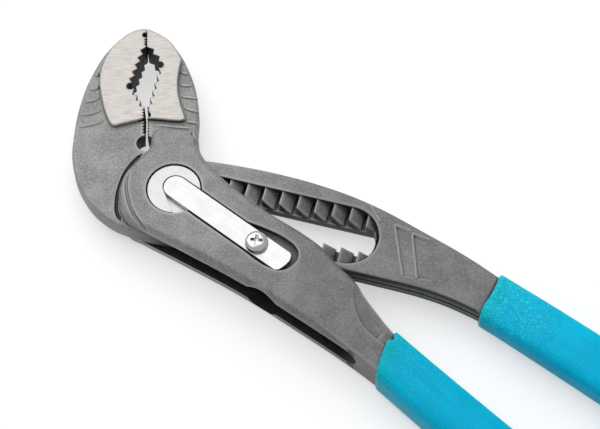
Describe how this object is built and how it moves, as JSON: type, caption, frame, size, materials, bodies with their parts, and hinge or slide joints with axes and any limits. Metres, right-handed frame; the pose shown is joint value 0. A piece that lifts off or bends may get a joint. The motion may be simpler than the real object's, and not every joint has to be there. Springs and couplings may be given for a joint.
{
  "type": "water pump pliers",
  "caption": "Angled-jaw water pump pliers with a toothed adjusting slot, a press-out pivot bolt held by a leaf spring, and dipped plastic grips.",
  "frame": {"origin": "on the flat back of the rear cheek, a little handle-side of the pivot", "axes": "+X along the adjusting slot towards the handles, +Y towards the jaw tips, +Z out of the front face with the bolt and leaf spring"},
  "size_m": [0.2393, 0.147, 0.0176],
  "materials": {
    "forged_steel_box": "matt grey blasted forging, ground bright on the jaw pad",
    "forged_steel_slotted": "matt grey blasted forging, ground bright on the jaw pad",
    "bright_bolt": "bright zinc plating",
    "hardened_bush": "plain machined steel",
    "bright_spring": "bright plated spring steel",
    "bright_screw": "bright zinc plating",
    "dipped_upper": "dipped soft plastic, light satin with fine pimples",
    "dipped_lower": "dipped soft plastic, light satin with fine pimples"
  },
  "bodies": {
    "box_lever": {"box_lever": "forged_steel_box", "lower_grip": "dipped_lower", "spring_screw": "bright_screw"},
    "slide_bush": {"slide_bush": "hardened_bush"},
    "toothed_bolt": {"toothed_bolt": "bright_bolt"},
    "slotted_lever": {"slotted_lever": "forged_steel_slotted", "upper_grip": "dipped_upper"},
    "leaf_spring": {"leaf_spring": "bright_spring"}
  },
  "joints": [
    {"name": "jaw_pivot", "type": "hinge", "parent": "box_lever", "child": "slide_bush", "pos_m": [-0.024, 0.012, 0], "axis": [0, 0, 1], "range_deg": [0, 30]},
    {"name": "slot_adjust", "type": "slide", "parent": "slide_bush", "child": "slotted_lever", "axis": [-1, 0, 0], "range_m": [0, 0.033]},
    {"name": "bolt_push", "type": "slide", "parent": "slide_bush", "child": "toothed_bolt", "axis": [0, 0, 1], "range_m": [0, 0.0043], "stiffness_N_per_m": 2000, "springref_m": -0.005},
    {"name": "leaf_flex", "type": "hinge", "parent": "box_lever", "child": "leaf_spring", "pos_m": [0.00209, 0.0018, 0.01355], "axis": [0.3939, 0.9191, 0], "range_deg": [0, 12.5], "deforming": ["leaf_spring"]}
  ],
  "couplings": [
    {"joint": "leaf_flex", "follows": "bolt_push", "rad_per_m": 50.7}
  ]
}
